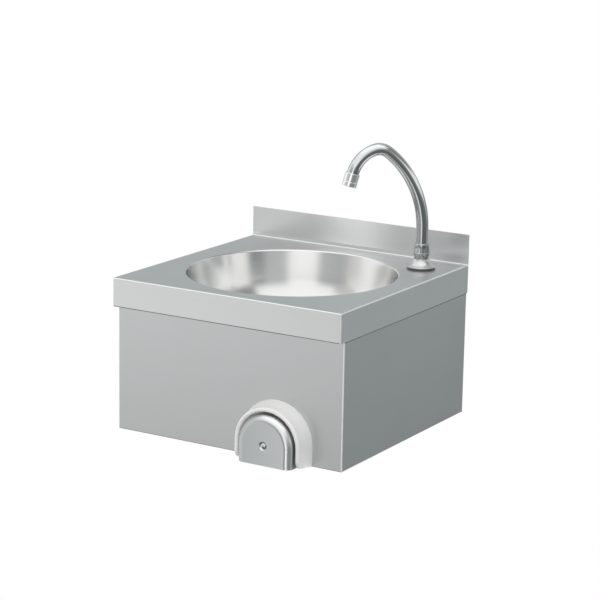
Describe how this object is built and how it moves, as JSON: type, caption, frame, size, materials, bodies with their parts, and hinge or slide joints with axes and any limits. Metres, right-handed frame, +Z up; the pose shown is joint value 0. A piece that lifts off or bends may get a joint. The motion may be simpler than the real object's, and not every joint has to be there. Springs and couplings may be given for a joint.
{
  "type": "handwash sink",
  "caption": "Compact wall-hung stainless handwash sink with round bowl, apron, backsplash, gooseneck swivel spout and a guarded knee pad that opens the water.",
  "frame": {"origin": "middle of the wall plane, at the level of the skirt's bottom edge", "axes": "+X to the user's right, -Y towards the user, +Z up; the wall plane is Y = 0"},
  "size_m": [0.4, 0.4223, 0.4383],
  "materials": {
    "brushed_sheet": "brushed stainless sheet, grain along the folds",
    "satin_bowl": "satin stainless, fine circular grain",
    "satin_pressing": "bright satin stainless pressing",
    "zinc_plate": "bright zinc-plated steel",
    "chrome": "polished chrome plate",
    "brass": "machined brass",
    "copper": "drawn copper tube",
    "stainless_turned": "turned stainless steel",
    "rubber": "black nitrile rubber",
    "black_plastic": "moulded black plastic",
    "white_plastic": "moulded white plastic",
    "braided_hose": "stainless braid over rubber hose"
  },
  "bodies": {
    "housing": {"worktop": "brushed_sheet", "bowl": "satin_bowl", "skirt": "brushed_sheet", "rear_tie": "zinc_plate", "tie_rivets": "zinc_plate", "hook_strip": "brushed_sheet", "wall_rail": "zinc_plate", "knee_guard": "satin_pressing", "return_spring": "stainless_turned", "valve_body": "brass", "valve_bonnet": "brass", "rod_wiper_seal": "rubber", "valve_locknut": "brass", "valve_bracket": "zinc_plate", "bracket_screws": "zinc_plate", "bracket_nuts": "zinc_plate", "valve_rear_cap": "brass", "feed_link_pipe": "copper", "link_pipe_nuts": "brass", "mixer_body": "brass", "mixer_cap": "brass", "mixer_spindle_seal": "rubber", "check_valves": "brass", "spout_hose": "braided_hose", "spout_hose_nuts": "chrome", "tap_shank": "brass", "tap_flange": "chrome", "flange_seal": "rubber", "shank_washer": "rubber", "shank_locknut": "brass", "collar_nut": "chrome", "glide_ring": "white_plastic", "thrust_washer": "white_plastic", "waste_strainer": "satin_pressing", "strainer_screw": "stainless_turned", "strainer_gasket": "rubber", "waste_gasket": "rubber", "waste_body": "white_plastic"},
    "knee_pad": {"knee_pad": "brushed_sheet", "knee_pad_screw": "stainless_turned", "plunger_rod": "stainless_turned", "plunger_piston": "white_plastic", "piston_seal": "rubber"},
    "spout": {"spout_tube": "chrome", "spout_spigot": "brass", "spigot_o_rings": "rubber", "aerator_housing": "chrome", "aerator_insert": "white_plastic", "aerator_seal": "rubber"},
    "mixer_knob": {"mixer_spindle": "stainless_turned", "mixer_knob": "black_plastic", "mixer_knob_screw": "zinc_plate"}
  },
  "joints": [
    {"name": "knee_press", "type": "slide", "parent": "housing", "child": "knee_pad", "axis": [0, 1, 0], "range_m": [0, 0.009], "stiffness_N_per_m": 1200, "springref_m": -0.01, "deforming": ["return_spring"]},
    {"name": "spout_swivel", "type": "hinge", "parent": "housing", "child": "spout", "pos_m": [0.15, -0.064, 0.27], "axis": [0, 0, 1], "range_deg": [-60, 150]},
    {"name": "mixer_turn", "type": "hinge", "parent": "housing", "child": "mixer_knob", "pos_m": [-0.124, -0.3118, 0.03], "axis": [-1, 0, 0], "range_deg": [-45, 45]}
  ]
}
